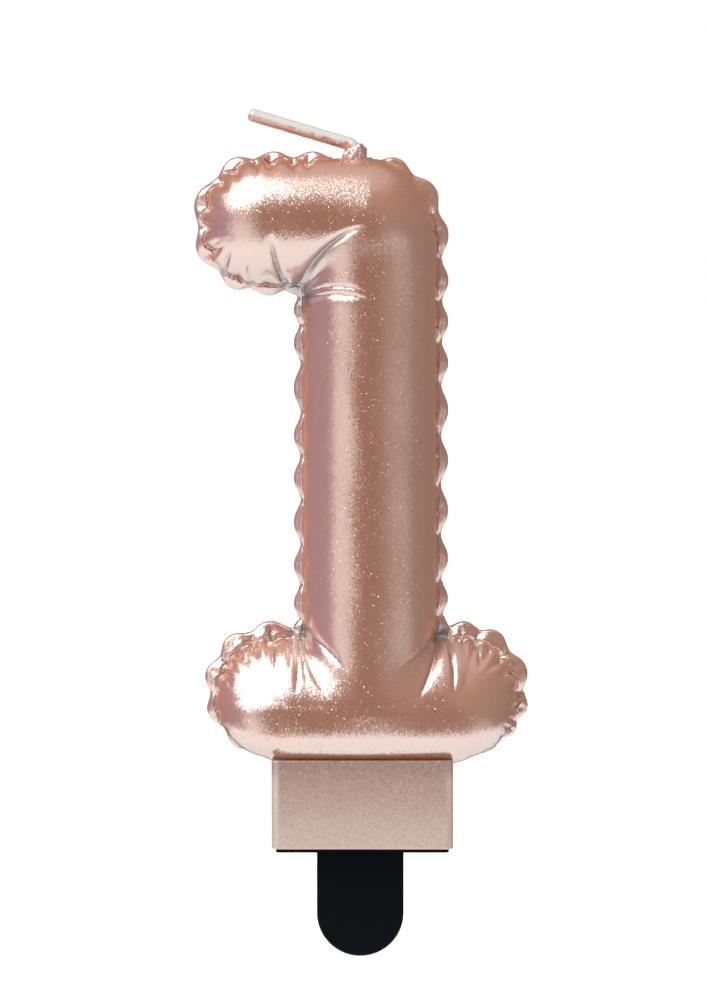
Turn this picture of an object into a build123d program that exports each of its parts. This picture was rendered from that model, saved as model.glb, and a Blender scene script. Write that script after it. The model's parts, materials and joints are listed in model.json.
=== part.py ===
from build123d import *
import os
from math import cos, radians, sin

# Number 1 cake candle, cast in wax to look like an inflated foil balloon.
# Row frame: +X to the right seen from the front, -Y towards the front, +Z up. The origin is the
# middle of the candle's underside, where it rests on the icing. All sizes are in millimetres.

# ---- Driving dimensions -------------------------------------------------------------------------

# Puckered seam of the balloon: the line through the crests of its lobes, as X and Z limits
HEAD_LEFT = -19.7
HEAD_TOP = 79.8
HEAD_BOTTOM = 63.6
STEM_LEFT = -7.9
STEM_RIGHT = 9.85
FOOT_TOP = 26.2
FOOT_LEFT = -18.3
FOOT_RIGHT = 19.3
FOOT_BOTTOM = 10.4
HEAD_END_RADIUS = 8.05
HEAD_CORNER_RADIUS = 8.6
FOOT_END_RADIUS = 7.85

# Inflated body, inside the seam
BODY_DEPTH = 14.6
BODY_ROUNDING = 6.3
BODY_INSET = 1.2
BODY_INSET_HEAD_TOP = 0.5
BODY_INSET_FOOT_TOP = 1.7
BODY_END_RADIUS = 6.6
BODY_CORNER_RADIUS = 7.6
INNER_CORNER_RADIUS = 0.8

# Lobes of the seam, and how many there are on each stretch of it
LOBE_RADIUS = 3.3
LOBE_THICKNESS = 2.2
LOBE_RIM_RADIUS = 1.05
LOBES_ON_LEFT_FOOT = 5
LOBES_ON_LEFT_STEM = 8
LOBES_ON_HEAD = 7
LOBES_ON_RIGHT_SIDE = 11
LOBES_ON_RIGHT_FOOT = 5

# The seam is bare where the wick comes out, and under the foot, where the plinth is
WICK_GAP_LEFT = -4.5
WICK_GAP_RIGHT = 1.2
FOOT_GAP_LEFT = -10.2
FOOT_GAP_RIGHT = 11.2

# Plinth block
PLINTH_WIDTH = 20.8
PLINTH_DEPTH = 12.0
PLINTH_TOP = 10.6
PLINTH_EDGE_RADIUS = 0.9
PLINTH_RIM_RADIUS = 0.25

# Cake pick: a plate under the plinth, a spike below it and a keyed tang inside the wax
PLATE_WIDTH = 19.8
PLATE_DEPTH = 11.0
PLATE_THICKNESS = 0.4
PLATE_CORNER_RADIUS = 0.6
SPIKE_WIDTH = 10.0
SPIKE_THICKNESS = 2.0
SPIKE_LENGTH = 12.5
SPIKE_X = -0.25
SPIKE_EDGE_RADIUS = 0.4
TANG_HEIGHT = 8.0
KEY_HOLE_RADIUS = 1.2
KEY_HOLE_SPACING = 5.0
KEY_HOLE_HEIGHT = 5.0

# Wick: a cotton cord up the stem, creased over just above the wax, its free end in a wax sleeve
WICK_X = -0.95
WICK_RADIUS = 0.6
WICK_FOOT = 12.6
WICK_STUB_TOP = 80.1
CREASE_HEIGHT = 80.8
FREE_LENGTH = 12.6
FREE_RISE_DEG = 16.5
SLEEVE_RADIUS = 0.78
SLEEVE_START = 1.0
SLEEVE_TIP_WALL = 0.35

# Wax collar round the wick, on top of the head
COLLAR_BASE_RADIUS = 1.6
COLLAR_TOP_RADIUS = 1.0
COLLAR_TOP = 79.9
COLLAR_ROOT = 78.0


# ---- Wax digit ----------------------------------------------------------------------------------


def inflated_body():
    """The smooth balloon form: the outline of the figure, made thick and rounded front and back."""
    left = STEM_LEFT + BODY_INSET
    right = STEM_RIGHT - BODY_INSET
    foot_left = FOOT_LEFT + BODY_INSET
    foot_right = FOOT_RIGHT - BODY_INSET
    foot_top = FOOT_TOP - BODY_INSET_FOOT_TOP
    head_left = HEAD_LEFT + BODY_INSET
    head_top = HEAD_TOP - BODY_INSET_HEAD_TOP
    head_bottom = HEAD_BOTTOM + BODY_INSET

    corners = [
        (head_left, head_top, BODY_END_RADIUS),
        (right, head_top, BODY_CORNER_RADIUS),
        (right, foot_top, INNER_CORNER_RADIUS),
        (foot_right, foot_top, BODY_END_RADIUS),
        (foot_right, FOOT_BOTTOM, BODY_END_RADIUS),
        (foot_left, FOOT_BOTTOM, BODY_END_RADIUS),
        (foot_left, foot_top, BODY_END_RADIUS),
        (left, foot_top, INNER_CORNER_RADIUS),
        (left, head_bottom, INNER_CORNER_RADIUS),
        (head_left, head_bottom, BODY_END_RADIUS),
    ]
    points = [(x, z) for x, z, _ in corners]
    radii = [radius for _, _, radius in corners]
    face = make_face(FilletPolyline(*points, radius=radii, close=True))
    solid = extrude(Plane.XZ * face, amount=BODY_DEPTH / 2, both=True)
    front, back = solid.faces().sort_by(Axis.Y)[0], solid.faces().sort_by(Axis.Y)[-1]
    return fillet(front.edges() + back.edges(), BODY_ROUNDING)


def seam_stretches():
    """Each run of seam between two inner corners or gaps, clockwise, with its number of lobes."""
    left_foot = FilletPolyline(
        (FOOT_GAP_LEFT, FOOT_BOTTOM),
        (FOOT_LEFT, FOOT_BOTTOM),
        (FOOT_LEFT, FOOT_TOP),
        (STEM_LEFT, FOOT_TOP),
        radius=FOOT_END_RADIUS,
    )
    left_stem = Line((STEM_LEFT, FOOT_TOP), (STEM_LEFT, HEAD_BOTTOM))
    head = FilletPolyline(
        (STEM_LEFT, HEAD_BOTTOM),
        (HEAD_LEFT, HEAD_BOTTOM),
        (HEAD_LEFT, HEAD_TOP),
        (WICK_GAP_LEFT, HEAD_TOP),
        radius=HEAD_END_RADIUS,
    )
    right_side = FilletPolyline(
        (WICK_GAP_RIGHT, HEAD_TOP),
        (STEM_RIGHT, HEAD_TOP),
        (STEM_RIGHT, FOOT_TOP),
        radius=HEAD_CORNER_RADIUS,
    )
    right_foot = FilletPolyline(
        (STEM_RIGHT, FOOT_TOP),
        (FOOT_RIGHT, FOOT_TOP),
        (FOOT_RIGHT, FOOT_BOTTOM),
        (FOOT_GAP_RIGHT, FOOT_BOTTOM),
        radius=FOOT_END_RADIUS,
    )
    return [
        (left_foot, LOBES_ON_LEFT_FOOT),
        (left_stem, LOBES_ON_LEFT_STEM),
        (head, LOBES_ON_HEAD),
        (right_side, LOBES_ON_RIGHT_SIDE),
        (right_foot, LOBES_ON_RIGHT_FOOT),
    ]


def lobe_centres():
    """(X, Z) of each lobe, one lobe radius inside the seam line, evenly spaced along each stretch."""
    centres = []
    for line, count in seam_stretches():
        for i in range(count):
            share = (i + 0.5) / count
            point, along = line.position_at(share), line.tangent_at(share)
            centres.append((point.X + LOBE_RADIUS * along.Y, point.Y - LOBE_RADIUS * along.X))
    return centres


def lobe():
    """One pillow of the seam: a disc facing front, with a round rim."""
    disc = Cylinder(LOBE_RADIUS, LOBE_THICKNESS, rotation=(90, 0, 0))
    return fillet(disc.edges().filter_by(GeomType.CIRCLE), LOBE_RIM_RADIUS)


def wick_collar():
    """The wax that climbs the wick where it leaves the head."""
    middle = (COLLAR_ROOT + COLLAR_TOP) / 2
    height = COLLAR_TOP - COLLAR_ROOT
    return Pos(WICK_X, 0, middle) * Cone(COLLAR_BASE_RADIUS, COLLAR_TOP_RADIUS, height)


def digit_body():
    """The wax figure: inflated body, seam lobes and collar in one casting, flat underneath, bored for the wick."""
    pillow = lobe()
    lobes = [Pos(x, 0, z) * pillow for x, z in lobe_centres()]
    casting = inflated_body() + lobes + wick_collar()
    under = Pos(0, 0, PLINTH_TOP) * Box(60, 60, 40, align=(Align.CENTER, Align.CENTER, Align.MAX))
    return casting - under - wick_core()


# ---- Wick ---------------------------------------------------------------------------------------


def wick_core():
    """The cotton cord inside the wax, up to the crease."""
    height = WICK_STUB_TOP - WICK_FOOT
    return Pos(WICK_X, 0, WICK_FOOT) * Cylinder(
        WICK_RADIUS, height, align=(Align.CENTER, Align.CENTER, Align.MIN)
    )


def free_end_place():
    """The crease, with its own Z along the free end of the wick."""
    return Pos(WICK_X, 0, CREASE_HEIGHT) * Rot(0, FREE_RISE_DEG - 90, 0)


def rod(radius, start, end):
    """A round rod along Z."""
    return Pos(0, 0, start) * Cylinder(radius, end - start, align=(Align.CENTER, Align.CENTER, Align.MIN))


def wick_tip():
    """The free cotton cord past the crease, with a round end at the crease so that it can fold."""
    end = FREE_LENGTH - SLEEVE_TIP_WALL
    return free_end_place() * (rod(WICK_RADIUS, 0, end) + Sphere(WICK_RADIUS))


def wick_sleeve():
    """The lacquered wax round the free cord, closed and rounded at the tip."""
    outside = rod(SLEEVE_RADIUS, SLEEVE_START, FREE_LENGTH)
    outside = fillet(outside.edges().sort_by(Axis.Z)[-1], SLEEVE_RADIUS * 0.6)
    return free_end_place() * (outside - rod(WICK_RADIUS, 0, FREE_LENGTH - SLEEVE_TIP_WALL))


# ---- Plinth and pick ----------------------------------------------------------------------------


def cake_pick():
    """One plastic moulding: plate, round-ended spike and a tang with two holes that the wax fills."""
    plate = Box(PLATE_WIDTH, PLATE_DEPTH, PLATE_THICKNESS, align=(Align.CENTER, Align.CENTER, Align.MIN))
    plate = fillet(plate.edges().filter_by(Axis.Z), PLATE_CORNER_RADIUS)

    blade_height = TANG_HEIGHT + SPIKE_LENGTH
    blade = Pos(SPIKE_X, 0, TANG_HEIGHT) * Box(
        SPIKE_WIDTH, SPIKE_THICKNESS, blade_height, align=(Align.CENTER, Align.CENTER, Align.MAX)
    )
    bottom_corners = blade.edges().filter_by(Axis.Y).group_by(Axis.Z)[0]
    blade = fillet(bottom_corners, SPIKE_WIDTH / 2 - 0.01)
    below = blade.edges().filter_by(lambda e: e.center().Z < -SPIKE_LENGTH / 2)
    rim = below.filter_by(lambda e: abs(e.center().Y) > SPIKE_THICKNESS / 4)
    blade = chamfer(rim, SPIKE_EDGE_RADIUS / 2)

    pick = plate + blade
    for side in (-1, 1):
        hole = Cylinder(KEY_HOLE_RADIUS, 2 * SPIKE_THICKNESS, rotation=(90, 0, 0))
        pick -= Pos(SPIKE_X + side * KEY_HOLE_SPACING / 2, 0, KEY_HOLE_HEIGHT) * hole
    return pick


def plinth():
    """The wax block under the foot, cast round the pick's tang."""
    height = PLINTH_TOP - PLATE_THICKNESS
    block = Pos(0, 0, PLATE_THICKNESS) * Box(
        PLINTH_WIDTH, PLINTH_DEPTH, height, align=(Align.CENTER, Align.CENTER, Align.MIN)
    )
    block = fillet(block.edges().filter_by(Axis.Z), PLINTH_EDGE_RADIUS)
    rims = block.faces().sort_by(Axis.Z)[0].edges() + block.faces().sort_by(Axis.Z)[-1].edges()
    return fillet(rims, PLINTH_RIM_RADIUS) - cake_pick()


# ---- Export -------------------------------------------------------------------------------------

PARTS = {
    "digit_body": digit_body,
    "plinth": plinth,
    "cake_pick": cake_pick,
    "wick_core": wick_core,
    "wick_tip": wick_tip,
    "wick_sleeve": wick_sleeve,
}

os.makedirs("parts", exist_ok=True)
for name, make in PARTS.items():
    part = make()
    print(name, len(part.solids()), "solid", round(part.volume, 1), "mm3")
    export_step(part, f"parts/{name}.step")

rise = radians(FREE_RISE_DEG)
print("crease", WICK_X, CREASE_HEIGHT, "free end towards", -cos(rise), sin(rise))
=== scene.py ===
# %% [markdown]
# # A birthday candle that looks like a foil balloon
#
# The real thing is a figure one, 80 mm tall with its block, cast in wax from a mould of an inflated
# foil balloon and sprayed with a satin rose-gold lacquer. A dark plastic pick goes into the cake and
# a waxed wick comes out of the top. This lesson builds it around an exact frame: the frame decides
# where each piece is and how it moves, and here the pieces get their real skin.
#
# We work in millimetres, because the object is small, and turn them to metres in one place.

import json
from math import cos, pi, radians, sin, sqrt

import bpy
import numpy as np
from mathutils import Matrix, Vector

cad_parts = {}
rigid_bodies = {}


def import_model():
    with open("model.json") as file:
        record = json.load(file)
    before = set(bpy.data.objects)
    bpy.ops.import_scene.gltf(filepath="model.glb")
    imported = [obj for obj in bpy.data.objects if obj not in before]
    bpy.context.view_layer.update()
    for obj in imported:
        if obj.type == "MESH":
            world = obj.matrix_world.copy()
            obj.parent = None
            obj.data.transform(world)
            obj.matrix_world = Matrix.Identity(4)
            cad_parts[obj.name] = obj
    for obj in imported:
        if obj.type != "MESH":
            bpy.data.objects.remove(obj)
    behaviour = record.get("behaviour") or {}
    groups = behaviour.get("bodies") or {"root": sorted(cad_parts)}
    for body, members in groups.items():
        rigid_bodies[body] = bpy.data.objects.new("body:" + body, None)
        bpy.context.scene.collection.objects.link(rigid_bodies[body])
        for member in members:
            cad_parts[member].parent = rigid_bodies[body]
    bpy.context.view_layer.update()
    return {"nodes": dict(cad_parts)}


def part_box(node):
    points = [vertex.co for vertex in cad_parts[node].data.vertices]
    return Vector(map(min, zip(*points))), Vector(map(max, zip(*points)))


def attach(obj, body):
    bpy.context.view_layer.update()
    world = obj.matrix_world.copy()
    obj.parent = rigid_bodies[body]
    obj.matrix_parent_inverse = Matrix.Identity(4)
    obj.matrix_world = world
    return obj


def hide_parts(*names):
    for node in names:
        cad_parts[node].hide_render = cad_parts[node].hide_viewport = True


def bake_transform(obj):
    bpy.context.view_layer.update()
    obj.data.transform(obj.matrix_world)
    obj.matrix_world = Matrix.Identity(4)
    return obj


for thing in list(bpy.data.objects):
    bpy.data.objects.remove(thing)
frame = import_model()

MM = 0.001


def box_in_mm(node):
    """A frame node's lowest and highest corner, in millimetres."""
    low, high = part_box(node)
    return np.array(low) / MM, np.array(high) / MM


figure_low, figure_high = box_in_mm("digit_body")
block_low, block_high = box_in_mm("plinth")
print("figure, mm:", figure_low.round(2), figure_high.round(2))

# %% [markdown]
# ## The balloon as three bars and a belly
#
# A foil figure one is three sausages that run into each other: the head, the stem and the foot. Each
# is a round-ended bar. We keep two outlines of each bar, the crest of the puckered seam all round and
# the swollen body inside it, because they are not quite concentric. The foot has a fourth bar in it,
# a belly without a seam, which rests on the block.
#
# Depth is a bar's half thickness in the middle. Droop is how far its fullest part sags, boxy squares
# off its lower half, and taper thins it towards the ends of the figure.

# %% The bars
STEM_X = 0.93
bars = {
    "head": dict(
        seam_from=(1.0, 71.85), seam_to=(-11.4, 71.85), seam_radius=8.25,
        body_from=(0.5, 72.0), body_to=(-11.2, 72.0), body_radius=7.3,
        depth=6.9, droop=0.0, boxy=0.0, taper=0.4,
    ),
    "stem": dict(
        seam_from=(0.98, 18.3), seam_to=(0.98, 71.0), seam_radius=8.88,
        body_from=(STEM_X, 18.3), body_to=(STEM_X, 70.0), body_radius=7.68,
        depth=6.9, droop=0.0, boxy=0.0, taper=0.0,
    ),
    "foot": dict(
        seam_from=(-10.45, 18.3), seam_to=(11.45, 18.3), seam_radius=7.87,
        body_from=(-10.05, 17.35), body_to=(11.1, 17.35), body_radius=6.95,
        depth=7.0, droop=2.5, boxy=1.6, taper=0.45,
    ),
    "belly": dict(
        body_from=(-8.0, 16.95), body_to=(9.2, 16.95), body_radius=7.3,
        depth=6.9, droop=1.6, boxy=1.6, taper=0.45,
    ),
}
leftmost = bars["head"]["seam_to"][0] - bars["head"]["seam_radius"]
print("leftmost seam, mm:", round(leftmost, 2), "frame:", figure_low[0].round(2))


def around(x, z, start, end, radius):
    """How far a spot is from a bar's middle line, and where it is round the bar's edge, in mm."""
    length = np.hypot(end[0] - start[0], end[1] - start[1])
    ahead = (end[0] - start[0]) / length, (end[1] - start[1]) / length
    t = (x - start[0]) * ahead[0] + (z - start[1]) * ahead[1]
    n = (z - start[1]) * ahead[0] - (x - start[0]) * ahead[1]
    past = t - np.clip(t, 0, length)
    first_side = t
    far_end = length + radius * np.arctan2(past, n)
    second_side = 2 * length + pi * radius - t
    near_end = 2 * length + pi * radius + radius * np.arctan2(-past, -n)
    along_side = np.where(n >= 0, first_side, second_side)
    place = np.where(t > length, far_end, np.where(t < 0, near_end, along_side))
    return np.hypot(past, n), place


# %% [markdown]
# ## The lobes of the seam
#
# Where two flat sheets of foil are welded and blown up, the edge is too long for the inside of the
# curve, so it puckers into a row of pillows. Their widths are never equal. Each list gives the widths
# in millimetres in order round its bar, from the place where the row starts. Pucker says how far the
# lobes draw the body's edge in, and run how far into the body that is felt, both in millimetres.

# %% Lobes
lobe_rows = {
    "head": [
        dict(start=6.9, widths=[2.8, 4.0, 4.9], pucker=0.55, run=0.8),
        dict(start=18.6, widths=[6.3, 6.9, 5.6, 4.4, 4.4], pucker=1.40, run=1.1),
    ],
    "stem": [
        dict(start=5.9, widths=[2.0, 4.1, 4.6, 5.4, 4.8, 4.9, 6.0, 4.4, 3.1, 2.4], pucker=0.22, run=0.6),
        dict(start=67.4, widths=[4.9, 5.9, 5.7], pucker=0.95, run=0.9),
        dict(start=83.9, widths=[4.7, 4.7, 4.8, 6.0, 5.6, 5.8, 5.3, 4.0, 2.6], pucker=0.30, run=0.6),
    ],
    "foot": [
        dict(start=-22.65, widths=[4.8, 5.1, 4.7, 5.1, 5.5, 2.2], pucker=0.65, run=0.65),
        dict(start=18.1, widths=[2.2, 3.7, 4.8, 5.8, 3.9, 2.5, 4.8], pucker=0.70, run=0.8),
    ],
}
print("lobes:", sum(len(row["widths"]) for rows in lobe_rows.values() for row in rows))


ROW_FADE = 3.0  # mm over which the pucker dies out at the end of a row
LEAST_RUN = 0.3


def lobe_phase(place, bar, name):
    """For places round a bar: -1 to 1 across the lobe, its width, and its row's pucker and run."""
    (x0, z0), (x1, z1) = bar["seam_from"], bar["seam_to"]
    whole = 2 * np.hypot(x1 - x0, z1 - z0) + 2 * pi * bar["seam_radius"]
    phase, width, pucker, run = (np.zeros_like(place) for _ in range(4))
    for row in lobe_rows[name]:
        cusps = np.concatenate([[0], np.cumsum(row["widths"])])
        s = (place - row["start"]) % whole
        index = np.searchsorted(cusps, s, side="right") - 1
        inside = index < len(row["widths"])
        index = np.minimum(index, len(row["widths"]) - 1)
        half = np.array(row["widths"])[index] / 2
        from_end = np.clip(np.minimum(s, cusps[-1] - s) / ROW_FADE, 0, 1)
        by_lobe = 0.7 + 0.3 * np.sin(2 * half * 23.1)
        strength = row["pucker"] * from_end**2 * (3 - 2 * from_end) * by_lobe
        phase = np.where(inside, (s - cusps[index] - half) / half, phase)
        width = np.where(inside, 2 * half, width)
        pucker = np.where(inside, strength, pucker)
        run = np.where(inside, row["run"], run)
    return phase, width, pucker, np.maximum(run, LEAST_RUN)


def scallop(phase):
    """0 in the middle of a lobe and 1 in the rounded dip between two."""
    return np.abs(np.sin(phase * pi / 2)) ** 2.5


def gather(phase, width):
    """The body's own arcs are half as wide as the lobes, with a crisp fold between them."""
    middle = 0.22 * np.sin(width * 9.7)
    before, after = (phase + 1) / (middle + 1), (phase - middle) / (1 - middle)
    half_phase = np.where(phase < middle, before, after)
    return np.abs(2 * half_phase - 1) ** 2.4


# %% [markdown]
# ## Creases
#
# At the inside corners the foil has nowhere to go and folds. Every fold is a stroke that starts at
# the seam, deep and wide, and runs out to nothing on the swollen body. A stroke holds where it
# starts, where it ends, how far it bows to its left, how wide and how deep it is at the start, and
# how much wider its left bank is than its right. A negative depth is a fold that stands up.

# %% Strokes for the creases
creases = [
    # the inside corner under the head
    ((-7.6, 64.2), (0.3, 71.7), 1.15, 0.60, 1.35, -0.35),
    ((-6.3, 64.6), (-3.4, 69.2), 0.35, 0.22, -0.25, 0.0),
    ((-7.4, 62.9), (0.9, 63.1), 0.80, 0.45, 0.60, -0.3),
    ((-6.2, 63.9), (0.5, 64.0), 0.75, 0.28, 0.38, 0.0),
    ((-7.2, 60.7), (-4.5, 60.8), 0.10, 0.20, 0.22, 0.0),
    # under the head
    ((-8.6, 64.3), (-10.4, 70.6), 0.35, 0.42, 1.15, 0.0),
    ((-8.1, 64.5), (-8.9, 67.9), 0.10, 0.25, -0.22, 0.0),
    ((-16.3, 65.6), (-15.1, 69.2), -0.20, 0.26, 0.85, 0.0),
    ((-13.0, 65.0), (-12.9, 67.6), 0.00, 0.22, 0.60, 0.0),
    ((-14.3, 65.1), (-14.1, 66.8), 0.00, 0.20, 0.40, 0.0),
    ((-18.0, 69.0), (-16.2, 69.9), 0.00, 0.30, 0.35, 0.0),
    # the top right corner
    ((7.6, 75.3), (5.6, 73.6), 0.05, 0.22, 0.22, 0.0),
    ((8.6, 72.2), (6.9, 71.2), 0.05, 0.22, 0.24, 0.0),
    ((8.9, 68.9), (7.4, 69.3), 0.05, 0.22, 0.18, 0.0),
    # left of the stem, on the foot
    ((-7.4, 26.0), (-1.9, 21.1), 0.25, 0.60, 0.85, -0.4),
    ((-7.0, 25.4), (-3.6, 17.6), -0.75, 0.26, 0.42, 0.2),
    ((-7.6, 25.0), (-7.5, 18.2), 0.10, 0.24, 0.55, 0.0),
    ((-6.9, 24.6), (-6.3, 19.3), -0.20, 0.18, 0.32, 0.0),
    ((-8.6, 24.9), (-8.3, 21.0), 0.10, 0.24, 0.34, 0.0),
    ((-10.5, 24.8), (-10.2, 20.6), 0.10, 0.30, 0.60, -0.4),
    ((-13.6, 23.9), (-13.2, 20.9), 0.10, 0.40, 0.42, 0.2),
    ((-16.4, 21.6), (-15.0, 18.6), 0.10, 0.32, 0.45, 0.0),
    ((-17.2, 16.6), (-15.3, 15.0), 0.10, 0.25, 0.28, 0.0),
    # right of the stem, on the foot
    ((8.9, 25.0), (4.3, 21.2), 0.15, 0.50, 0.48, 0.0),
    ((8.7, 25.0), (6.1, 17.4), 0.45, 0.40, 0.70, 0.4),
    ((9.4, 25.0), (10.3, 17.9), 0.45, 0.32, 0.62, 0.3),
    ((13.1, 24.4), (13.5, 20.9), 0.05, 0.38, 0.62, 0.0),
    ((17.3, 21.4), (16.5, 19.4), 0.10, 0.28, 0.40, 0.0),
    ((18.4, 18.3), (17.0, 16.3), 0.10, 0.26, 0.38, 0.0),
    # low on the right of the stem
    ((8.8, 30.6), (6.9, 29.5), -0.20, 0.28, -0.30, 0.0),
    ((8.7, 28.8), (6.8, 26.8), -0.30, 0.28, -0.32, 0.0),
]


TAIL_SHARE = 0.25  # the last share of a stroke, over which it runs out
LEAD_IN = 0.15  # it also starts softly, this share of its length before its start
FLAT_BOTTOM = 0.06  # mm; rounds the very bottom of the fold


def stroke_depth(x, z, stroke):
    """How deep one crease is at each spot, in mm."""
    start, end, bow, width, depth, lean = stroke
    length = np.hypot(end[0] - start[0], end[1] - start[1])
    ahead = (end[0] - start[0]) / length, (end[1] - start[1]) / length
    t = ((x - start[0]) * ahead[0] + (z - start[1]) * ahead[1]) / length
    aside = (z - start[1]) * ahead[0] - (x - start[0]) * ahead[1]
    aside = aside - bow * 4 * t * (1 - t)
    to_go = np.clip(1 - t, 0, 1)
    tail = np.clip(to_go / TAIL_SHARE, 0, 1) ** 0.8
    fade = tail * (0.3 + 0.7 * to_go) * np.clip((t + LEAD_IN) / LEAD_IN, 0, 1)
    spread = width * (0.45 + 0.55 * to_go) * (1 + lean * np.sign(aside))
    from_bottom = np.sqrt(aside**2 + FLAT_BOTTOM**2) - FLAT_BOTTOM
    return depth * fade * np.exp(-from_bottom / spread)


# %% [markdown]
# ## One height for every spot
#
# The candle is the same front and back, so its whole form is one number for every spot of the front
# view: the half thickness. We add up its square, because the square of a round section falls in an
# even slope to the edge and on below zero outside, which makes a clean round edge. The skin then lies
# where y squared equals that number.

# %% Numbers for the form
LOBE_HALF_THICKNESS = 1.1
WEB_HALF_THICKNESS = 0.55
PINCH_SHARE, MOST_PINCH = 0.15, 0.8  # of a lobe's width, and in mm
FAR_OUTSIDE = -9.0
# How sharply bars run into each other: the stem swells into the foot at its sides, more sharply
# down its middle, and meets the head in a fold.
FOOT_MEETING, MIDDLE_EXTRA, MIDDLE_WIDTH = 3.0, 4.0, 4.5
HEAD_MEETING = 7.0
SEAM_SOFTNESS = 0.35  # mm2; rounds the groove between body and seam
RIPPLE_DEPTH = 0.02
HIGHEST_RIDGE, DEEPEST_FOLD = 0.6, 1.8
rng = np.random.default_rng(7)
ripple_waves = [(rng.normal(0, 0.35, 2), rng.uniform(0, 2 * pi)) for _ in range(14)]
print("ripple waves:", len(ripple_waves))

# %% [markdown]
# The body of each bar is a bulge that falls from its depth to nothing at its radius. Between the body
# and the crest of the seam lies the lobe: a pillow that rises from the rim to the body's edge and
# dips into a groove there. A thin web joins the lobes where the seam is pinched. At the end the folds
# and a faint ripple are taken off the height, less and less towards the edge.

# %% The square of the half thickness


def bulge_square(x, z, bar, reach, drawn_in):
    """One bar's swollen body: half thickness squared, in mm2."""
    below = np.clip((bar["body_from"][1] - z) / bar["body_radius"], 0, 1)
    round_power = 2.2 + bar["boxy"] * below
    thinner = 1 - bar["taper"] * ((x - STEM_X) / 20) ** 2
    outward = (reach + drawn_in) / bar["body_radius"]
    return np.clip(bar["depth"] ** 2 * thinner * (1 - outward**round_power), 0, None)


def lobe_square(bar, seam_reach, to_body, phase, width):
    """One bar's seam lobes and the web between them: half thickness squared, in mm2."""
    pinch = scallop(phase) * np.minimum(PINCH_SHARE * width, MOST_PINCH)
    from_crest = bar["seam_radius"] - pinch - seam_reach
    share = np.clip(from_crest / (np.abs(from_crest) + to_body), 0, 1)
    thick = LOBE_HALF_THICKNESS * (1 - 0.35 * np.abs(phase) ** 3)
    rise = 0.22 * (1 - np.exp(-share / 0.05)) + 0.7 * share**2 + 0.3 * share
    into_groove = np.clip((share - 0.78) / 0.22, 0, 1)
    groove = 1 - 0.6 * into_groove**2 * (3 - 2 * into_groove)
    pillow = np.where(from_crest > 0, thick**2 * rise * groove, thick**2 * 4 * from_crest)
    web = WEB_HALF_THICKNESS**2 * np.minimum(1, from_crest / 0.25)
    rim = np.where(width > 0, np.maximum(pillow, web), FAR_OUTSIDE)
    return np.where(seam_reach < bar["seam_radius"] + 3, rim, FAR_OUTSIDE)


def figure_square(x, z):
    """Half thickness squared, in mm2, below zero outside the figure."""
    swells, edge = {}, FAR_OUTSIDE
    for name, bar in bars.items():
        body = bar["body_from"], bar["body_to"], bar["body_radius"]
        reach, _ = around(x, z, *body)
        if bar["droop"]:
            fullness = np.clip(1 - (reach / bar["body_radius"]) ** 2, 0, 1)
            reach, _ = around(x, z + bar["droop"] * fullness, *body)
        if name not in lobe_rows:
            swells[name] = bulge_square(x, z, bar, reach, 0.0)
            continue
        seam_reach, place = around(x, z, bar["seam_from"], bar["seam_to"], bar["seam_radius"])
        phase, width, pucker, run = lobe_phase(place, bar, name)
        inward = np.clip(bar["body_radius"] - reach, 0, None)
        drawn_in = pucker * gather(phase, width) * np.exp(-((inward / run) ** 2))
        swells[name] = bulge_square(x, z, bar, reach, drawn_in)
        to_body = np.clip(reach + drawn_in - bar["body_radius"], 0.001, None)
        edge = np.maximum(edge, lobe_square(bar, seam_reach, to_body, phase, width))

    foot = np.maximum(swells["foot"], swells["belly"])
    meeting = FOOT_MEETING + MIDDLE_EXTRA * np.exp(-(((x - STEM_X) / MIDDLE_WIDTH) ** 2))
    lower = (swells["stem"] ** meeting + foot**meeting) ** (1 / meeting)
    body = (lower**HEAD_MEETING + swells["head"] ** HEAD_MEETING) ** (1 / HEAD_MEETING)
    joined = SEAM_SOFTNESS * np.logaddexp(body / SEAM_SOFTNESS, edge / SEAM_SOFTNESS)
    square = np.where(body <= 0, edge, joined)

    half = np.sqrt(np.clip(square, 0, None))
    fold = sum(stroke_depth(x, z, stroke) for stroke in creases)
    ripple = sum(np.sin(x * k[0] + z * k[1] + p) for k, p in ripple_waves) * RIPPLE_DEPTH
    inside_edge = np.clip(half / 2.2 - 0.3, 0, 1)
    half_new = half - (np.clip(fold, -HIGHEST_RIDGE, DEEPEST_FOLD) + ripple) * inside_edge
    return np.where(square > 0, half_new * np.abs(half_new), square)


mid_stem = figure_square(np.array([STEM_X]), np.array([45.0]))
print("half thickness mid stem, mm:", np.sqrt(mid_stem).round(2))

# %% [markdown]
# ## Skin over the form
#
# The form is now a rule, and the mesh comes from sampling it on a fine lattice. Each lattice cell
# that the surface passes through gets one vertex, and each lattice edge that it crosses gets one
# four-sided face. This is called surface nets. It gives a single closed skin with even faces.
# Afterwards every vertex slides onto the exact surface.

# %% Lattice
DEEPEST = 9.2  # mm to the front and back; the figure is always less deep
FINE, COARSE = 0.225, 0.5
SEAM_STEP, BODY_STEP = 0.25, 0.34


def graded(low, high, steps):
    """Lattice lines from low to high; steps lists (up to, step) in order."""
    lines = [low]
    for upto, step in steps:
        while lines[-1] < min(upto, high):
            lines.append(lines[-1] + step)
    return np.array(lines)


def lattice():
    """Lattice lines a little outside the figure, closer together where there are folds."""
    return [
        graded(figure_low[0] - 0.8, figure_high[0] + 0.8, [(np.inf, FINE)]),
        graded(-DEEPEST, DEEPEST, [(-1.5, BODY_STEP), (1.5, SEAM_STEP), (np.inf, BODY_STEP)]),
        graded(block_high[2] - 1.6, figure_high[2] + 1.2, [(27.5, FINE), (61, COARSE), (np.inf, FINE)]),
    ]


print("lattice lines:", [len(along) for along in lattice()])

# %% Surface nets


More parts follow.
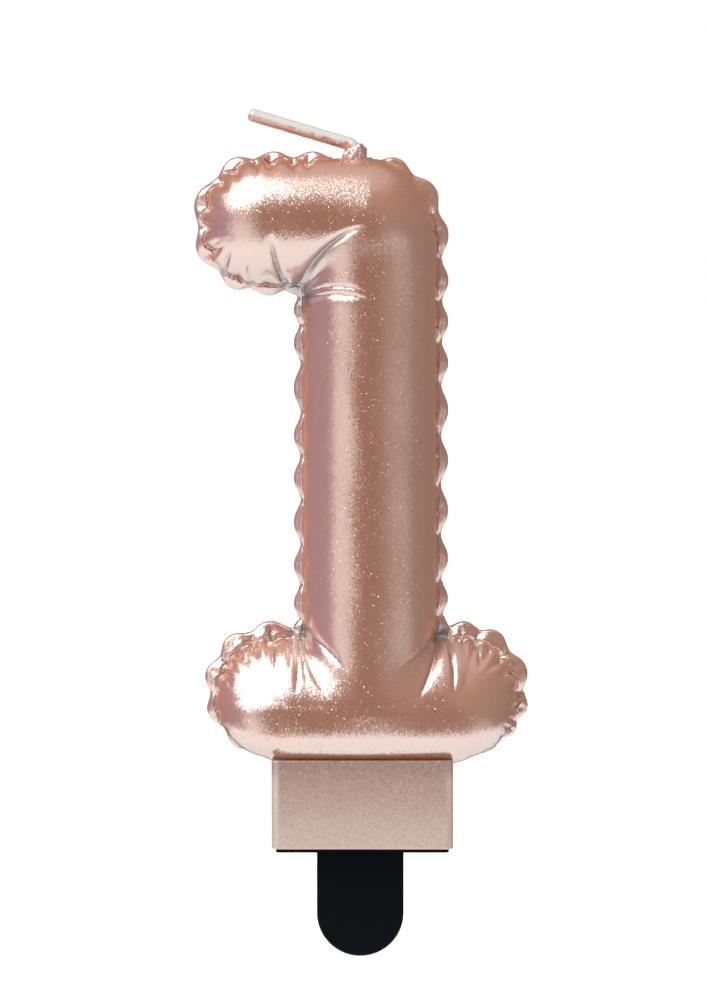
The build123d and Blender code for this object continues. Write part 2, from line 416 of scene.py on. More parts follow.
def surface_nets(values, lines):
    """Vertices in mm and four-sided faces where values cross zero; values are above zero inside."""
    inside = values > 0
    n = np.array(values.shape)
    cells = n - 1
    total = np.zeros((*cells, 3))
    count = np.zeros(cells)

    def corner(grid, offset):
        return grid[tuple(slice(o, o + c) for o, c in zip(offset, cells))]

    for axis in range(3):
        for a in (0, 1):
            for b in (0, 1):
                near = [a, b]
                near.insert(axis, 0)
                far = list(near)
                far[axis] = 1
                v0, v1 = corner(values, near), corner(values, far)
                crossed = corner(inside, near) != corner(inside, far)
                share = np.where(crossed, v0 / np.where(crossed, v0 - v1, 1), 0)
                for i in range(3):
                    total[..., i] += crossed * (share if i == axis else near[i])
                count += crossed
    used = count > 0
    where = np.argwhere(used)
    number = np.full(cells, -1)
    number[used] = np.arange(len(where))
    spots = where + total[used] / count[used][:, None]
    vertices = np.stack([np.interp(spots[:, i], np.arange(n[i]), lines[i]) for i in range(3)], 1)

    faces = []
    for axis in range(3):
        u, v = [i for i in range(3) if i != axis]
        lo = [slice(1, n[i] - 1) for i in range(3)]
        lo[axis] = slice(0, n[axis] - 1)
        hi = list(lo)
        hi[axis] = slice(1, n[axis])
        start_in, end_in = inside[tuple(lo)], inside[tuple(hi)]
        for flip in (False, True):
            edges = np.argwhere((start_in != end_in) & (start_in == (not flip)))
            if not len(edges):
                continue
            base = edges + 1
            base[:, axis] -= 1
            ring = []
            for du, dv in ((0, 0), (1, 0), (1, 1), (0, 1)):
                c = base.copy()
                c[:, u] -= 1 - du
                c[:, v] -= 1 - dv
                ring.append(number[c[:, 0], c[:, 1], c[:, 2]])
            ring = np.stack(ring, 1)
            turn = flip != (axis == 1)
            faces.append(ring[:, ::-1] if turn else ring)
    return vertices, np.concatenate(faces)


lines = lattice()
square = figure_square(*np.meshgrid(lines[0], lines[2], indexing="ij"))
values = square[:, None, :] - lines[1][None, :, None] ** 2
skin, skin_faces = surface_nets(values, lines)
print("lattice", values.shape, "vertices", len(skin), "faces", len(skin_faces))

# %% [markdown]
# ## Onto the exact surface
#
# The net's vertices lie within a cell of the surface, in slightly uneven rows that a shiny finish
# would show. So we even them out and slide each one along the slope to where the form's rule holds.
# A slide is never longer than about half a cell, so that no vertex overshoots in a fold.

# %% Slide the vertices
LONGEST_SLIDE = 0.12


def figure_slope(x, z, step=0.03):
    """How fast the square changes along x and along z."""
    along_x = (figure_square(x + step, z) - figure_square(x - step, z)) / (2 * step)
    along_z = (figure_square(x, z + step) - figure_square(x, z - step)) / (2 * step)
    return along_x, along_z


def onto_surface(p):
    """Moves points towards where y squared equals the figure's square."""
    gap = figure_square(p[:, 0], p[:, 2]) - p[:, 1] ** 2
    along_x, along_z = figure_slope(p[:, 0], p[:, 2])
    slope = np.stack([along_x, -2 * p[:, 1], along_z], 1)
    step = -gap[:, None] * slope / np.maximum((slope**2).sum(1), 0.5)[:, None]
    size = np.linalg.norm(step, axis=1)
    return p + step * np.minimum(1, LONGEST_SLIDE / np.maximum(size, 1e-9))[:, None]


def evened(p, faces, share):
    """Each vertex moved part of the way to the middle of its neighbours."""
    a, b = faces.ravel(), np.roll(faces, -1, axis=1).ravel()
    total = np.zeros_like(p)
    for i in range(3):
        total[:, i] = np.bincount(a, p[b, i], len(p)) + np.bincount(b, p[a, i], len(p))
    count = np.bincount(a, minlength=len(p)) + np.bincount(b, minlength=len(p))
    return p + share * (total / count[:, None] - p)


for _ in range(3):
    skin = onto_surface(evened(skin, skin_faces, 0.4))
skin = onto_surface(onto_surface(skin))
left_over = figure_square(skin[:, 0], skin[:, 2]) - skin[:, 1] ** 2
print("gap, mm2: worst", np.abs(left_over).max().round(3), "mean", np.abs(left_over).mean().round(5))

# %% [markdown]
# ## The skin as a piece
#
# The points become a mesh in metres. Its normals come from the slope of the form instead of from the
# faces: in a mirror-like finish even small faces would show as facets, and the form's own slope is
# exact. They are evened once, so that the sharpest grooves don't glitter.

# %% The figure's mesh


def mesh_piece(name, points_mm, faces, smooth=True):
    """A mesh object from points in mm, linked to the scene."""
    mesh = bpy.data.meshes.new(name)
    mesh.from_pydata((np.asarray(points_mm) * MM).tolist(), [], [tuple(int(i) for i in f) for f in faces])
    mesh.validate()
    mesh.polygons.foreach_set("use_smooth", [smooth] * len(mesh.polygons))
    mesh.update()
    piece = bpy.data.objects.new(name, mesh)
    bpy.context.scene.collection.objects.link(piece)
    return piece


figure = mesh_piece("balloon_figure", skin, skin_faces)
along_x, along_z = figure_slope(skin[:, 0], skin[:, 2], step=0.08)
facing = np.stack([-along_x, 2 * skin[:, 1], -along_z], 1)
facing /= np.linalg.norm(facing, axis=1)[:, None]
facing = evened(facing, skin_faces, 0.5)
facing /= np.linalg.norm(facing, axis=1)[:, None]
figure.data.normals_split_custom_set_from_vertices(facing.tolist())
first, second, third = (skin[skin_faces[:, i]] for i in range(3))
print("outward faces:", np.einsum("ij,ij->i", first, np.cross(second, third)).sum() > 0)

# %% [markdown]
# ## Helpers for the finishes
#
# Colours are easiest to read as the hex codes of a paint chart, but shaders work with linear light,
# so one function turns them. Another adds a node with its settings, its sockets' values and its
# links. Patterns get their scale from the size that the real grain has in millimetres.

# %% Helpers for the finishes


def linear(hex_code):
    """An sRGB hex colour as the linear colour that shaders work with."""
    channels = [int(hex_code[i : i + 2], 16) / 255 for i in (1, 3, 5)]
    return [c / 12.92 if c <= 0.04045 else ((c + 0.055) / 1.055) ** 2.4 for c in channels] + [1.0]


def node(tree, kind, links=None, values=None, **settings):
    """Adds a node with its settings; links are socket: output and values are socket: number."""
    made = tree.nodes.new("ShaderNode" + kind)
    for key, value in settings.items():
        setattr(made, key, value)
    for socket, value in (values or {}).items():
        made.inputs[socket].default_value = value
    for socket, output in (links or {}).items():
        tree.links.new(output, made.inputs[socket])
    return made


def ramp(start, end, low=0.0, high=1.0):
    """Values for a range of numbers: low up to start and high from end on."""
    return {"From Min": start, "From Max": end, "To Min": low, "To Max": high}


def per_mm(size_mm):
    """Texture scale that makes one feature this many millimetres, in coordinates in metres."""
    return 1 / (size_mm * MM)


print("rose gold, linear:", [round(c, 3) for c in linear("#CA7A57")])


# %% [markdown]
# ## Satin rose-gold lacquer on wax
#
# The figure is paraffin wax sprayed with a pearl lacquer: a rose-brown tint with millions of tiny
# mica flakes that lie nearly flat. The tint hardly changes with the light, and the flakes add a
# strong colourless shine on top, so a light that would be a thin gleam on plain varnish becomes a
# broad white band. One shader gives both: a diffuse tint, and a specular layer with a high index of
# refraction. The flakes do not lie quite flat, so each small patch of the surface is tilted its own
# way, and that makes the glitter along the edges of every highlight.

# %% Lacquer
FLAKE_MM = 0.09  # real flakes are under 0.05 mm; drawn coarser, so that they show
COARSE_FLAKE_MM = 0.12  # the grainy spray's flakes clump
PEEL_MM, PEEL_HEIGHT_MM = 0.6, 0.06
SPECK_MM, CLOUD_MM = 0.2, 9
STANDING_FROM, STANDING_TILT = 0.965, 0.6


def lacquer(name, tints, roughness, index, flake_tilt, peel, flake_mm=FLAKE_MM, shine=1.0):
    """Pearl lacquer; tints are three colours, flake_tilt how far flakes lean, peel the bump."""
    material = bpy.data.materials.new(name)
    material.use_nodes = True
    tree = material.node_tree
    tree.nodes.clear()
    place = node(tree, "TexCoord").outputs["Object"]

    # Every flake leans its own way. One in thirty stands up, and sparkles far from the highlights.
    flakes = node(tree, "TexVoronoi", {"Vector": place}, {"Scale": per_mm(flake_mm)}, feature="F1")
    own_way = flakes.outputs["Color"]
    tilt = node(tree, "VectorMath", {0: own_way}, {1: (0.5, 0.5, 0.5)}, operation="SUBTRACT")
    lot = node(tree, "SeparateXYZ", {0: own_way}).outputs["Y"]
    standing = ramp(STANDING_FROM, STANDING_FROM + 0.01, flake_tilt, STANDING_TILT)
    lean = node(tree, "MapRange", {"Value": lot}, standing).outputs["Result"]
    leaned = node(tree, "VectorMath", {0: tilt.outputs[0], "Scale": lean}, operation="SCALE")

    # Under them, spray dries with a faint orange peel.
    grain = {"Scale": per_mm(PEEL_MM), "Detail": 3.0}
    orange_peel = node(tree, "TexNoise", {"Vector": place}, grain).outputs["Fac"]
    relief = {"Strength": peel, "Distance": PEEL_HEIGHT_MM * MM}
    bump = node(tree, "Bump", {"Height": orange_peel}, relief).outputs["Normal"]
    summed = node(tree, "VectorMath", {0: bump, 1: leaned.outputs[0]}, operation="ADD")
    flaked = node(tree, "VectorMath", {0: summed.outputs[0]}, operation="NORMALIZE")

    # The tint varies in fine specks and in broad clouds.
    specks = {"Scale": per_mm(SPECK_MM), "Detail": 2.0}
    clouds = {"Scale": per_mm(CLOUD_MM), "Detail": 2.0}
    speck = node(tree, "TexNoise", {"Vector": place}, specks).outputs["Fac"]
    cloud = node(tree, "TexNoise", {"Vector": place}, clouds).outputs["Fac"]
    dark_tint, light_tint, cloud_tint = (linear(tint) for tint in tints)
    speckled = node(tree, "Mix", {"Factor": speck}, {"A": dark_tint, "B": light_tint}, data_type="RGBA")
    thin_cloud = node(tree, "Math", {0: cloud}, {1: 0.6}, operation="MULTIPLY")
    clouded = node(
        tree, "Mix", {"Factor": thin_cloud.outputs[0], "A": speckled.outputs["Result"]},
        {"B": cloud_tint}, data_type="RGBA",
    )

    shader = node(
        tree, "BsdfPrincipled",
        {"Base Color": clouded.outputs["Result"], "Normal": flaked.outputs[0]},
        {"Roughness": roughness, "IOR": index, "Specular IOR Level": shine},
    )
    node(tree, "OutputMaterial", {"Surface": shader.outputs["BSDF"]})
    return material


def opened(material):
    """A lacquer's nodes, its shader, and the colour that goes into the shader now."""
    shader = next(n for n in material.node_tree.nodes if n.type == "BSDF_PRINCIPLED")
    return material.node_tree, shader, shader.inputs["Base Color"].links[0].from_socket


SATIN_ROUGHNESS = 0.22
satin_rose_gold = lacquer(
    "satin_rose_gold_pearl_lacquer", ("#CA7A57", "#E59D7B", "#CD8461"),
    roughness=SATIN_ROUGHNESS, index=3.0, flake_tilt=0.15, peel=0.15,
)
print("satin lacquer nodes:", len(satin_rose_gold.node_tree.nodes))

# %% [markdown]
# ## Painted shade in the folds
#
# The bottom of a fold is painted browner, as painted shade for the shade that falls in it, and its coat
# is made duller. Each vertex of the skin stores how deep in a fold it lies, from 0 to 1, and the finish
# reads it. A stored number follows the folds exactly, which a texture could not.

# %% Folds in the finish
FULL_FOLD_DEPTH = 0.55  # mm
FOLD_ROUGHNESS = 0.34
depth_there = sum(stroke_depth(skin[:, 0], skin[:, 2], stroke) for stroke in creases if stroke[4] > 0)
in_fold = figure.data.attributes.new("in_fold", "FLOAT", "POINT")
in_fold.data.foreach_set("value", np.clip(depth_there / FULL_FOLD_DEPTH - 0.15, 0, 1))

tree, shader, sprayed = opened(satin_rose_gold)
fold = node(tree, "Attribute", attribute_name="in_fold").outputs["Fac"]
# Painted shade: the deeper in a fold, the browner the colour.
painted_fold_shade = {"B": linear("#7C3C22")}
fold_shaded = node(tree, "Mix", {"Factor": fold, "A": sprayed}, painted_fold_shade, data_type="RGBA")
tree.links.new(fold_shaded.outputs["Result"], shader.inputs["Base Color"])
dulled = node(tree, "MapRange", {"Value": fold}, ramp(0.0, 1.0, SATIN_ROUGHNESS, FOLD_ROUGHNESS))
tree.links.new(dulled.outputs["Result"], shader.inputs["Roughness"])
print("share of the skin in folds:", (depth_there > FULL_FOLD_DEPTH).mean().round(4))

figure.data.materials.append(satin_rose_gold)
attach(figure, "candle")
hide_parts("digit_body")

# %% [markdown]
# ## The block
#
# The block under the foot is plain cast wax with square sides and slightly rounded edges. The same
# lacquer has dried on it dull and grainy. Its shape in the frame is already right, so it keeps its
# frame mesh and only gets the finish: flakes that lean every way, which blurs the shine, with painted
# light and a painted shadow in its colour.

# %% Matte lacquer
matte_rose_gold = lacquer(
    "matte_rose_gold_lacquer", ("#9C6345", "#BD8262", "#A76E50"),
    roughness=0.5, index=2.4, flake_tilt=0.4, peel=0.5, flake_mm=COARSE_FLAKE_MM,
)
tree, shader, sprayed = opened(matte_rose_gold)
spot = node(tree, "SeparateXYZ", {0: node(tree, "TexCoord").outputs["Object"]})

# Painted light: paler towards the bottom, as light from the table below, and along the side edges, as
# painted highlights.
MOST_PAINTED_LIGHT = 0.55
table_light_ramp = ramp(9.6 * MM, 0.0, 0.0, MOST_PAINTED_LIGHT)
painted_table_light = node(
    tree, "MapRange", {"Value": spot.outputs["Z"]}, table_light_ramp, interpolation_type="SMOOTHSTEP"
)
sideways = node(tree, "Math", {0: spot.outputs["X"]}, operation="ABSOLUTE")
edge_highlight_ramp = ramp((block_high[0] - 1.1) * MM, (block_high[0] - 0.5) * MM, 0.0, MOST_PAINTED_LIGHT)
painted_edge_highlight = node(
    tree, "MapRange", {"Value": sideways.outputs[0]}, edge_highlight_ramp, interpolation_type="SMOOTHSTEP"
)
painted_light = node(
    tree, "Math", {0: painted_table_light.outputs["Result"], 1: painted_edge_highlight.outputs["Result"]}, operation="MAXIMUM"
)
painted_light_colour = {"B": linear("#EFD3C4")}
painted_lit_tint = node(tree, "Mix", {"Factor": painted_light.outputs[0], "A": sprayed}, painted_light_colour, data_type="RGBA")

# Painted shadow: darker in a strip along the top, where the overhang of the foot shades the block.
shadow_ramp = ramp((block_high[2] - 2.6) * MM, (block_high[2] - 0.7) * MM, 0.0, 0.6)
painted_shadow = node(
    tree, "MapRange", {"Value": spot.outputs["Z"]}, shadow_ramp, interpolation_type="SMOOTHSTEP"
)
shadowed = node(
    tree, "Mix", {"Factor": painted_shadow.outputs["Result"], "A": painted_lit_tint.outputs["Result"]},
    {"B": linear("#8A4E30")}, data_type="RGBA",
)
tree.links.new(shadowed.outputs["Result"], shader.inputs["Base Color"])

block = frame["nodes"]["plinth"]
block.data.materials.clear()
block.data.materials.append(matte_rose_gold)
print("block finish:", block.data.materials[0].name)

# %% [markdown]
# ## The pick
#
# Injection-moulded polystyrene, nearly black with a touch of blue, from a mould with a fine spark
# finish that takes the gloss off. The frame mesh is right here too.

# %% Dark moulded plastic
dark = bpy.data.materials.new("dark_moulded_polystyrene")
dark.use_nodes = True
tree = dark.node_tree
shader = tree.nodes["Principled BSDF"]
place = node(tree, "TexCoord").outputs["Object"]
PIT_MM, PIT_DEPTH_MM = 0.15, 0.03  # real pits are 0.02 mm wide; drawn coarser, so that they show
pits = {"Scale": per_mm(PIT_MM), "Detail": 2.0}
spark_pits = node(tree, "TexNoise", {"Vector": place}, pits).outputs["Fac"]
relief = {"Strength": 0.35, "Distance": PIT_DEPTH_MM * MM}
pitted = node(tree, "Bump", {"Height": spark_pits}, relief)
tree.links.new(pitted.outputs["Normal"], shader.inputs["Normal"])
shader.inputs["Base Color"].default_value = linear("#080C14")
shader.inputs["Roughness"].default_value = 0.55
shader.inputs["Specular IOR Level"].default_value = 0.10
pick = frame["nodes"]["cake_pick"]
pick.data.materials.clear()
pick.data.materials.append(dark)
print("pick finish:", pick.data.materials[0].name)

# %% [markdown]
# ## The wick
#
# A braided cotton wick dipped in wax and sprayed with the figure. It comes straight up out of the
# wax and is folded over to the left, so it is one skin with a bend in it. We sweep a ring along
# that path and push each ring's points in and out a little, because dipped wax is never even.

# %% Wick path
WICK_X = -0.95
CREASE_Z = 80.8
WICK_RADIUS = 0.78
FREE_LENGTH = 12.6
RISE = radians(16.5)
BEND_RADIUS = 0.9
WICK_FROM = 78.4

turn = pi / 2 - RISE
lead = BEND_RADIUS * np.tan(turn / 2)
straight_up = CREASE_Z - lead - WICK_FROM
bend_run = BEND_RADIUS * turn
whole_run = straight_up + bend_run + FREE_LENGTH - lead
away = np.array([-cos(RISE), 0, sin(RISE)])


def wick_place(run):
    """Middle of the wick and the way it heads, run mm along it from inside the wax."""
    if run <= straight_up:
        return np.array([WICK_X, 0, WICK_FROM + run]), np.array([0, 0, 1.0])
    if run <= straight_up + bend_run:
        angle = (run - straight_up) / BEND_RADIUS
        centre = np.array([WICK_X - BEND_RADIUS, 0, WICK_FROM + straight_up])
        spoke = np.array([cos(angle), 0, sin(angle)])
        return centre + BEND_RADIUS * spoke, np.array([-sin(angle), 0, cos(angle)])
    past = run - straight_up - bend_run
    return np.array([WICK_X, 0, CREASE_Z]) + away * (lead + past), away


print("wick, mm along its middle:", round(whole_run, 2))

# %% [markdown]
# The wax on the wick is lumpy by a few hundredths of a millimetre, a little flattened, and chipped
# where the fold cracked it. A chip is a shallow dent with a flat bottom, given by its place along the
# wick in millimetres, its place round it as an angle, and its size. The tip is rounded off by rings
# that lie closer and closer together. Each vertex also stores how much painted shade it gets: most on
# the underside, and in the chips.

# %% Wick skin
SIDES = 28
RING_STEP = 0.1
TIP_ROUND, TIP_RINGS = 0.55, 9
LUMP, FLATTENING, CHIP_DEPTH = 0.005, 0.05, 0.16
# The chips show the rose of the painted shade.
CHIP_SHOWS = 2.2  # how strongly a chip shows the underside's colour
wick_waves = [(rng.uniform(1, 4), rng.integers(0, 4), rng.uniform(0, 2 * pi)) for _ in range(9)]
chips = [
    (4.9, 2.3, 0.55), (5.5, 2.0, 0.40), (4.2, 2.7, 0.35),
    (3.4, 2.4, 0.40), (2.9, 3.4, 0.35), (3.1, 1.6, 0.30),
]


def chip_depth(run, angle):
    """How deep the wick's wax is chipped at a spot, in mm."""
    depth = 0.0
    for at, side, size in chips:
        turned = (angle - side + pi) % (2 * pi) - pi
        depth += CHIP_DEPTH * np.exp(-(((run - at) / size) ** 4) - (turned / (1.1 * size)) ** 4)
    return min(depth, CHIP_DEPTH)


tip_from = whole_run - TIP_ROUND
tip_runs = whole_run - TIP_ROUND * (1 - np.sin(np.linspace(0, pi / 2, TIP_RINGS)))
runs = np.append(np.arange(0, tip_from, RING_STEP), tip_runs)
wick_points, wick_faces, shade_and_chips = [], [], []
for run in runs:
    middle, heading = wick_place(run)
    across = np.array([heading[2], 0, -heading[0]])
    to_tip = np.clip((run - tip_from) / TIP_ROUND, 0, 1)
    cap = WICK_RADIUS - TIP_ROUND * (1 - sqrt(max(0, 1 - to_tip**2)))
    for i in range(SIDES):
        angle = 2 * pi * i / SIDES
        lumps = sum(sin(run * k + m * angle + p) for k, m, p in wick_waves) * LUMP
        chip = chip_depth(run, angle)
        radius = cap * (1 + lumps - FLATTENING * cos(angle) ** 2) - chip
        out = across * cos(angle) + np.array([0, -1.0, 0]) * sin(angle)
        wick_points.append(middle + radius * out)
        # Painted shade: grows from 0 on the top to 1 underneath, and the chips add to it.
        shade_and_chips.append(0.5 - 0.5 * cos(angle) + CHIP_SHOWS * chip)
rings = len(runs)
for r in range(rings - 1):
    for i in range(SIDES):
        j = (i + 1) % SIDES
        wick_faces.append((r * SIDES + i, r * SIDES + j, (r + 1) * SIDES + j, (r + 1) * SIDES + i))
wick_faces.append(tuple(range(SIDES))[::-1])
wick_faces.append(tuple((rings - 1) * SIDES + i for i in range(SIDES)))
wick = mesh_piece("waxed_wick", wick_points, wick_faces)
shade_layer = wick.data.attributes.new("shade_and_chips", "FLOAT", "POINT")
shade_layer.data.foreach_set("value", shade_and_chips)
print("wick rings", rings, "faces", len(wick_faces))

# %% [markdown]
# ## Wax at the root of the wick
#
# Where the wick is folded the lacquered wax cracks off it and gathers at the root as crumbs. Blobs
# that melt into each other are easy to write as a sum of soft bumps, and the same surface nets give
# them a skin. Small loose crumbs lie on the wax around the root.

# %% Places of the crumbs
COLLAR_FOOT, COLLAR_TOP = 79.0, 80.75
COLLAR_RADIUS, COLLAR_TAPER = 1.25, 0.28
crumbs = [((WICK_X + 0.15, 0, 79.1), 1.30), ((WICK_X + 0.1, 0, 79.9), 1.05)]
for _ in range(26):
    angle, height = rng.uniform(0, 2 * pi), rng.uniform(COLLAR_FOOT, COLLAR_TOP)
    ring = COLLAR_RADIUS - COLLAR_TAPER * (height - COLLAR_FOOT)
    place = (WICK_X + 0.1 + ring * cos(angle), ring * sin(angle), height)
    crumbs.append((place, rng.uniform(0.22, 0.42)))
column = np.linspace(76.0, 80.0, 81)
for _ in range(16):
    x, y = rng.uniform(-2.6, 1.3), rng.uniform(-3.2, 1.8)
    inside = figure_square(np.full(len(column), x), column) > y**2
    if inside.any():
        crumbs.append(((x, y, column[inside].max() + 0.02), rng.uniform(0.13, 0.26)))
print("crumbs:", len(crumbs))

# %% Skin of the crumbs
CRUMB_STEP = 0.115
MELTING = 9  # per mm; a larger number parts the crumbs more crisply
GRIT_DEPTH, CRUMB_SHRINK = 0.018, 0.02
around_root = ((-4.2, 2.6), (-4.0, 3.2), (76.5, 81.6))
crumb_lines = [np.arange(low, high, CRUMB_STEP) for low, high in around_root]
gx, gy, gz = np.meshgrid(*crumb_lines, indexing="ij")
field = np.full(gx.shape, -1.0)
for (cx, cy, cz), size in crumbs:
    from_middle = np.sqrt((gx - cx) ** 2 + (gy - cy) ** 2 + (gz - cz) ** 2)
    field = np.logaddexp(field * MELTING, (1 - from_middle / size) * MELTING * size) / MELTING
grit_waves = [(rng.normal(0, 6, 3), rng.uniform(0, 6)) for _ in range(8)]
grit = sum(np.sin(gx * k[0] + gy * k[1] + gz * k[2] + p) for k, p in grit_waves)
crumb_skin, crumb_faces = surface_nets(field + grit * GRIT_DEPTH - CRUMB_SHRINK, crumb_lines)
crumb_skin = evened(crumb_skin, crumb_faces, 0.3)
root = mesh_piece("wax_root_crumbs", crumb_skin, crumb_faces)
print("crumb faces:", len(crumb_faces))

# %% [markdown]
# ## Finish of the wick and its root
#
# The wick is painted nearly white along its top, as a painted highlight, and rose underneath, as
# painted shade, with a ragged border between; the chips show the rose as well. The wick is smoother
# and less pearly than the figure. The crumbs at the root are lacquer that has cracked, so their
# flakes face every way and they glitter.

# %% Wick finish
wick_wax = lacquer(
    "waxed_wick_lacquer", ("#F0E2DC", "#FBF5F2", "#F4E8E3"),
    roughness=0.3, index=2.0, flake_tilt=0.05, peel=0.2, shine=0.9,
)
tree, shader, painted_highlight_tint = opened(wick_wax)
RAGGED_MM = 0.7
rags = {"Scale": per_mm(RAGGED_MM), "Detail": 3.0}
place = node(tree, "TexCoord").outputs["Object"]
# Painted light: the wick's top keeps the near-white tint as a painted highlight, its underside turns rose
# as painted shade, and the chips show the same rose.
side = node(tree, "Attribute", attribute_name="shade_and_chips").outputs["Fac"]
ragged = node(tree, "TexNoise", {"Vector": place}, rags).outputs["Fac"]
uneven = node(tree, "Math", {0: ragged, 2: side}, {1: 0.5}, operation="MULTIPLY_ADD")
painted_shade_share = node(
    tree, "MapRange", {"Value": uneven.outputs[0]}, ramp(0.68, 0.92), interpolation_type="SMOOTHSTEP"
)
highlight_and_shade = node(
    tree, "Mix", {"Factor": painted_shade_share.outputs["Result"], "A": painted_highlight_tint},
    {"B": linear("#CF9079")}, data_type="RGBA",
)
tree.links.new(highlight_and_shade.outputs["Result"], shader.inputs["Base Color"])
wick.data.materials.append(wick_wax)
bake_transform(wick)
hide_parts("wick_tip", "wick_sleeve")
print("wick finish:", wick.data.materials[0].name)

# %% Root finish
cracked_wax = lacquer(
    "cracked_lacquered_wax", ("#A8603F", "#E0A58D", "#C98468"),
    roughness=0.3, index=2.8, flake_tilt=0.35, peel=1.0,
)
root.data.materials.append(cracked_wax)
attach(root, "candle")
print("root finish:", root.data.materials[0].name)

# %% [markdown]
# ## Camera
#
# A long lens from 600 mm away keeps the bars of even width, as a catalogue picture has them. It
# stands straight in front and above the candle's middle, tilted down by a few degrees. The lens is
# worked out from how much height should fit in the view at the candle.

# %% Camera
CAMERA_AWAY = 600
VIEW_HALF_HEIGHT = 57.5
SENSOR = 36
camera_data = bpy.data.cameras.new("camera")
camera = bpy.data.objects.new("camera", camera_data)
bpy.context.scene.collection.objects.link(camera)
bpy.context.scene.camera = camera
camera.location = Vector((0.9, -CAMERA_AWAY, 70)) * MM
aim = Vector((-1.03, 0, 40.1)) * MM
camera.rotation_euler = (aim - camera.location).to_track_quat("-Z", "Y").to_euler()
camera_data.sensor_width = SENSOR
camera_data.lens = SENSOR / 2 * (aim - camera.location).length / (VIEW_HALF_HEIGHT * MM)
camera_data.clip_start, camera_data.clip_end = 0.01, 20
print("lens, mm:", round(camera_data.lens, 1))

# %% [markdown]
# ## Floor
#
# The set is a white light table. It is only seen by the camera: its reflection and the light that it
# throws up are part of the room below, where they are easier to balance.

# %% Floor
FLOOR_GAP = 0.02
FLOOR_SIDE, FLOOR_FRONT, FLOOR_BACK = 4000, -3000, 6000
floor_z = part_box("cake_pick")[0].z / MM - FLOOR_GAP
floor_corners = [
    (-FLOOR_SIDE, FLOOR_FRONT, floor_z), (FLOOR_SIDE, FLOOR_FRONT, floor_z),
    (FLOOR_SIDE, FLOOR_BACK, floor_z), (-FLOOR_SIDE, FLOOR_BACK, floor_z),
]
floor = mesh_piece("pale_floor", floor_corners, [(0, 1, 2, 3)], smooth=False)
paper = bpy.data.materials.new("white_light_table")
paper.use_nodes = True
top = paper.node_tree.nodes["Principled BSDF"]
top.inputs["Base Color"].default_value = (0.8, 0.8, 0.8, 1)
top.inputs["Roughness"].default_value = 0.9
top.inputs["Emission Color"].default_value = (1, 1, 1, 1)
top.inputs["Emission Strength"].default_value = 0.9
floor.data.materials.append(paper)
floor.visible_glossy = False
floor.visible_diffuse = False
print("floor, mm:", round(floor_z, 2))

# %% [markdown]
# ## Softbox
#
# One big softbox above and to the left lights the tint of the lacquer and gives the soft shade on
# the right. It is left out of reflections, because a rectangle with hard edges would show in every
# bar. The broad white bands come from the room instead.

# %% Softbox
KEY_PLACE, KEY_AIM = Vector((-227, -291, 518)) * MM, Vector((0, 0, 45)) * MM
KEY_WIDTH, KEY_HEIGHT = 420 * MM, 600 * MM
KEY_BRIGHTNESS = 0.95  # what its surface shows, 1 being paper white
light = bpy.data.lights.new("key_softbox", "AREA")
light.shape = "RECTANGLE"
light.size, light.size_y = KEY_WIDTH, KEY_HEIGHT
light.energy = KEY_BRIGHTNESS * pi * KEY_WIDTH * KEY_HEIGHT
key = bpy.data.objects.new("key_softbox", light)
bpy.context.scene.collection.objects.link(key)
key.location = KEY_PLACE
key.rotation_euler = (KEY_AIM - KEY_PLACE).to_track_quat("-Z", "Y").to_euler()
key.visible_glossy = False
print("softbox, W:", round(light.energy, 3))

# %% [markdown]
# ## The room in the reflections
#
# Shiny things show the room, so the room matters as much as the lamp. A studio's softboxes have soft
# edges in a pearl finish, so each is a soft oval of light in the surround: a big one above and to the
# left for the white bands on head and foot, a tall one at the left for the band down the stem, and a
# weak one at the right. The walls are dull, the far left is cool as a window is, the white table
# glows from below, and the dark round the camera gives the brown middle of every bar.
#
# Directions are given as an azimuth, 0 towards the camera and negative to the left, and a height.

# %% Directions
world = bpy.data.worlds.new("studio")
bpy.context.scene.world = world
world.use_nodes = True
tree = world.node_tree
tree.nodes.clear()
direction = node(tree, "TexCoord").outputs["Generated"]
split = node(tree, "SeparateXYZ", {0: direction})
to_right, to_back, upward = (split.outputs[axis] for axis in "XYZ")
to_camera = node(tree, "Math", {0: to_back}, {1: -1}, operation="MULTIPLY").outputs[0]
azimuth = node(tree, "Math", {0: to_right, 1: to_camera}, operation="ARCTAN2").outputs[0]
height = node(tree, "Math", {0: upward}, operation="ARCSINE").outputs[0]


def soft_step(value, start, end):
    """0 before start and 1 after end, with a soft edge between."""
    step = node(
        tree, "MapRange", {"Value": value}, ramp(start, end), interpolation_type="SMOOTHSTEP"
    )
    return step.outputs["Result"]


def glow(middle, half_size, edge):
    """A soft oval of 1 in 0: middle and half size are (azimuth, height) in degrees."""
    parts = []
    for angle, centre, half in zip((azimuth, height), middle, half_size):
        shifted = node(tree, "Math", {0: angle}, {1: radians(centre)}, operation="SUBTRACT")
        scaled = node(tree, "Math", {0: shifted.outputs[0]}, {1: radians(half)}, operation="DIVIDE")
        squared = node(tree, "Math", {0: scaled.outputs[0]}, {1: 2}, operation="POWER")
        parts.append(squared.outputs[0])
    from_middle = node(tree, "Math", {0: parts[0], 1: parts[1]}, operation="ADD").outputs[0]
    return soft_step(from_middle, 1 + edge, 1 - edge)


def light_of(brightness, hex_code):
    """A colour that shines: brightness 1 is paper white."""
    return [brightness * c for c in linear(hex_code)[:3]] + [1.0]


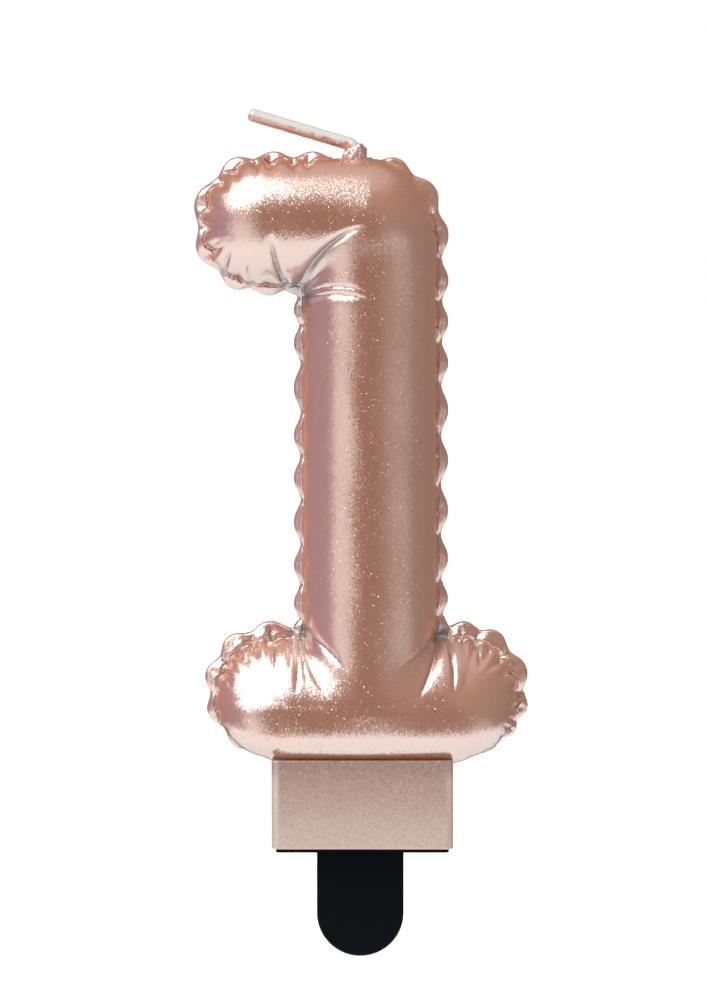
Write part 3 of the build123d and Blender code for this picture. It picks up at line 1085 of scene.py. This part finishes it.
def layered(base, layers):
    """A room built up from a base colour; layers are (where, colour), each over the ones before."""
    (where, colour), *others = layers
    room = node(tree, "Mix", {"Factor": where}, {"A": base, "B": colour}, data_type="RGBA")
    for where, colour in others:
        below = room.outputs["Result"]
        room = node(tree, "Mix", {"Factor": where, "A": below}, {"B": colour}, data_type="RGBA")
    return room.outputs["Result"]


print("nodes for directions:", len(tree.nodes))

# %% What is reflected
room = layered(light_of(0.16, "#FFF4EC"), [
    (soft_step(upward, 0.72, 0.96), light_of(0.46, "#FFFAF5")),  # pale ceiling
    (soft_step(to_right, -0.66, -0.86), light_of(0.25, "#AFC4FF")),  # cool far left
    (glow((-7, 0), (19, 60), 0.6), light_of(0.0, "#FFD8C0")),  # dark round the camera
    (glow((47, -12), (22, 11), 0.6), light_of(0.47, "#FFFAF5")),  # weak softbox, right
    (glow((-41, -10), (21.5, 18), 0.3), light_of(0.82, "#FFFBF8")),  # tall softbox, left
    (glow((-50, 50), (40.5, 31), 0.42), light_of(3.2, "#FFFFFF")),  # big softbox, above left
    (soft_step(upward, -0.30, -0.41), light_of(1.26, "#FFFEFC")),  # white table
])
reflected = node(tree, "Background", {"Color": room}, {"Strength": 1.0})
print("nodes with the room:", len(tree.nodes))

# %% [markdown]
# ## The light that the room gives
#
# Pearl lacquer keeps its tint nearly the same whatever the light does, so the light that brings out
# the tint is made evener than the reflections: bright at the height of the candle, and less from
# above and below. The camera itself sees plain white behind the candle.

# %% What lights the tint
even_light = layered(light_of(1.25, "#FFFFFF"), [
    (soft_step(upward, -0.05, -0.35), light_of(0.55, "#FFFFFF")),  # less from below
    (soft_step(upward, 0.3, 0.7), light_of(0.22, "#FFFFFF")),  # least from above
])
bounced = node(tree, "Background", {"Color": even_light}, {"Strength": 1.0})
seen = node(tree, "Background", values={"Color": (1, 1, 1, 1), "Strength": 1.0})
ray = node(tree, "LightPath")
by_bounce = {0: ray.outputs["Is Diffuse Ray"], 1: reflected.outputs[0], 2: bounced.outputs[0]}
lit = node(tree, "MixShader", by_bounce)
by_eye = {0: ray.outputs["Is Camera Ray"], 1: lit.outputs[0], 2: seen.outputs[0]}
whole = node(tree, "MixShader", by_eye)
node(tree, "OutputWorld", {"Surface": whole.outputs[0]})
print("nodes in the studio:", len(tree.nodes))

bpy.context.scene.view_settings.view_transform = "Standard"
